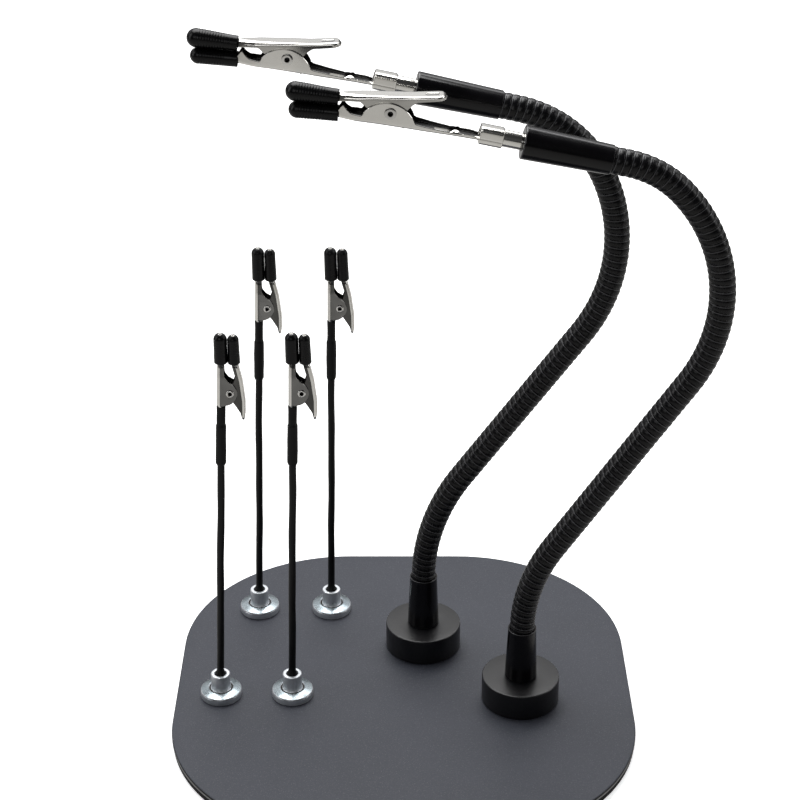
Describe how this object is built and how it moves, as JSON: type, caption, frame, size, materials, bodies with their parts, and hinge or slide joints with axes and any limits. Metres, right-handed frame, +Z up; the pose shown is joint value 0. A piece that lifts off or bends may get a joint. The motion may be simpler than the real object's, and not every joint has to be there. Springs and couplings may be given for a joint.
{
  "type": "helping hands station",
  "caption": "Magnetic work holding station: rounded steel plate on a soft pad with bendable gooseneck arms and thin bendable board holders, each ending in a rubber booted spring clip.",
  "frame": {"origin": "centre of the pad's underside, on the table", "axes": "+Z up, +Y towards the back of the plate, +X to the right, the side the gooseneck arms bulge to; the large clips point to -X"},
  "size_m": [0.2056, 0.184, 0.2632],
  "materials": {
    "plate_coat": "fine textured powder coat, satin",
    "pad_rubber": "matte foam rubber",
    "black_enamel": "smooth black enamel, satin",
    "magnet": "ground ferrite",
    "black_neck": "black coated wound wire, semi gloss",
    "plated_steel": "bright nickel plate",
    "rivet_steel": "nickel plated",
    "boot_rubber": "soft black rubber, slightly glossy",
    "zinc_cup": "zinc plated, satin",
    "stem_black": "black insulation, satin",
    "shrink_tube": "shrunk tubing, matte",
    "small_clip_steel": "dark nickel plated steel"
  },
  "bodies": {
    "base": {"base_plate": "plate_coat", "anti_slip_pad": "pad_rubber"},
    "front_foot": {"front_foot_housing": "black_enamel", "front_foot_magnet": "magnet"},
    "front_low": {"front_ferrule_lower": "black_enamel", "front_neck_lower": "black_neck"},
    "front_mid": {"front_neck_middle": "black_neck"},
    "front_top": {"front_neck_upper": "black_neck", "front_ferrule_upper": "black_enamel", "front_clip_barrel": "plated_steel", "front_clip_body": "plated_steel", "front_clip_pivot": "rivet_steel", "front_boot_fixed": "boot_rubber"},
    "front_jaw": {"front_clip_lever": "plated_steel", "front_boot_lever": "boot_rubber"},
    "back_foot": {"back_foot_housing": "black_enamel", "back_foot_magnet": "magnet"},
    "back_low": {"back_ferrule_lower": "black_enamel", "back_neck_lower": "black_neck"},
    "back_mid": {"back_neck_middle": "black_neck"},
    "back_top": {"back_neck_upper": "black_neck", "back_ferrule_upper": "black_enamel", "back_clip_barrel": "plated_steel", "back_clip_body": "plated_steel", "back_clip_pivot": "rivet_steel", "back_boot_fixed": "boot_rubber"},
    "back_jaw": {"back_clip_lever": "plated_steel", "back_boot_lever": "boot_rubber"},
    "fl_foot": {"fl_pot_magnet": "zinc_cup"},
    "fl_mast": {"fl_stem": "stem_black", "fl_shrink_sleeve": "shrink_tube", "fl_clip_body": "small_clip_steel", "fl_clip_pivot": "rivet_steel", "fl_boot_fixed": "boot_rubber"},
    "fl_jaw": {"fl_clip_lever": "small_clip_steel", "fl_boot_lever": "boot_rubber"},
    "fr_foot": {"fr_pot_magnet": "zinc_cup"},
    "fr_mast": {"fr_stem": "stem_black", "fr_shrink_sleeve": "shrink_tube", "fr_clip_body": "small_clip_steel", "fr_clip_pivot": "rivet_steel", "fr_boot_fixed": "boot_rubber"},
    "fr_jaw": {"fr_clip_lever": "small_clip_steel", "fr_boot_lever": "boot_rubber"},
    "bl_foot": {"bl_pot_magnet": "zinc_cup"},
    "bl_mast": {"bl_stem": "stem_black", "bl_shrink_sleeve": "shrink_tube", "bl_clip_body": "small_clip_steel", "bl_clip_pivot": "rivet_steel", "bl_boot_fixed": "boot_rubber"},
    "bl_jaw": {"bl_clip_lever": "small_clip_steel", "bl_boot_lever": "boot_rubber"},
    "br_foot": {"br_pot_magnet": "zinc_cup"},
    "br_mast": {"br_stem": "stem_black", "br_shrink_sleeve": "shrink_tube", "br_clip_body": "small_clip_steel", "br_clip_pivot": "rivet_steel", "br_boot_fixed": "boot_rubber"},
    "br_jaw": {"br_clip_lever": "small_clip_steel", "br_boot_lever": "boot_rubber"}
  },
  "joints": [
    {"name": "front_foot_slide", "type": "slide", "parent": "base", "child": "front_foot", "axis": [1, 0, 0], "range_m": [-0.015, 0.02]},
    {"name": "front_swivel", "type": "hinge", "parent": "front_foot", "child": "front_low", "pos_m": [0.0455, -0.011, 0.0155], "axis": [0, 0, 1], "range_deg": [-8, 25]},
    {"name": "front_neck_bend_low", "type": "hinge", "parent": "front_low", "child": "front_mid", "pos_m": [0.07923, -0.011, 0.10842], "axis": [0, 1, 0], "range_deg": [-25, 25]},
    {"name": "front_neck_bend_high", "type": "hinge", "parent": "front_mid", "child": "front_top", "pos_m": [0.09509, -0.011, 0.21693], "axis": [0, 1, 0], "range_deg": [-23, 25]},
    {"name": "front_clip_open", "type": "hinge", "parent": "front_top", "child": "front_jaw", "pos_m": [-0.00461, -0.011, 0.2466], "axis": [0, 1, 0], "range_deg": [0, 26]},
    {"name": "back_foot_slide", "type": "slide", "parent": "base", "child": "back_foot", "axis": [1, 0, 0], "range_m": [-0.015, 0.02]},
    {"name": "back_swivel", "type": "hinge", "parent": "back_foot", "child": "back_low", "pos_m": [0.008, 0.0255, 0.0155], "axis": [0, 0, 1], "range_deg": [-32, 8]},
    {"name": "back_neck_bend_low", "type": "hinge", "parent": "back_low", "child": "back_mid", "pos_m": [0.0446, 0.0255, 0.11453], "axis": [0, 1, 0], "range_deg": [-25, 25]},
    {"name": "back_neck_bend_high", "type": "hinge", "parent": "back_mid", "child": "back_top", "pos_m": [0.07112, 0.0255, 0.2101], "axis": [0, 1, 0], "range_deg": [-25, 25]},
    {"name": "back_clip_open", "type": "hinge", "parent": "back_top", "child": "back_jaw", "pos_m": [-0.04065, 0.0255, 0.25327], "axis": [0, 1, 0], "range_deg": [0, 26]},
    {"name": "fl_foot_slide", "type": "slide", "parent": "base", "child": "fl_foot", "axis": [0, 1, 0], "range_m": [-0.01, 0.015]},
    {"name": "fl_stem_bend", "type": "hinge", "parent": "fl_foot", "child": "fl_mast", "pos_m": [-0.0715, -0.009, 0.0135], "axis": [1, 0, 0], "range_deg": [-15, 40]},
    {"name": "fl_clip_open", "type": "hinge", "parent": "fl_mast", "child": "fl_jaw", "pos_m": [-0.06262, -0.009, 0.13903], "axis": [0, 1, 0], "range_deg": [0, 24]},
    {"name": "fr_foot_slide", "type": "slide", "parent": "base", "child": "fr_foot", "axis": [0, 1, 0], "range_m": [-0.01, 0.015]},
    {"name": "fr_stem_bend", "type": "hinge", "parent": "fr_foot", "child": "fr_mast", "pos_m": [-0.0435, -0.009, 0.0135], "axis": [1, 0, 0], "range_deg": [-15, 40]},
    {"name": "fr_clip_open", "type": "hinge", "parent": "fr_mast", "child": "fr_jaw", "pos_m": [-0.03681, -0.009, 0.13917], "axis": [0, 1, 0], "range_deg": [0, 24]},
    {"name": "bl_foot_slide", "type": "slide", "parent": "base", "child": "bl_foot", "axis": [0, 1, 0], "range_m": [-0.01, 0.015]},
    {"name": "bl_stem_bend", "type": "hinge", "parent": "bl_foot", "child": "bl_mast", "pos_m": [-0.06, 0.0505, 0.0135], "axis": [1, 0, 0], "range_deg": [-40, 15]},
    {"name": "bl_clip_open", "type": "hinge", "parent": "bl_mast", "child": "bl_jaw", "pos_m": [-0.05248, 0.0505, 0.14463], "axis": [0, 1, 0], "range_deg": [0, 24]},
    {"name": "br_foot_slide", "type": "slide", "parent": "base", "child": "br_foot", "axis": [0, 1, 0], "range_m": [-0.01, 0.015]},
    {"name": "br_stem_bend", "type": "hinge", "parent": "br_foot", "child": "br_mast", "pos_m": [-0.03, 0.0505, 0.0135], "axis": [1, 0, 0], "range_deg": [-40, 15]},
    {"name": "br_clip_open", "type": "hinge", "parent": "br_mast", "child": "br_jaw", "pos_m": [-0.02454, 0.0505, 0.14473], "axis": [0, 1, 0], "range_deg": [0, 24]}
  ]
}
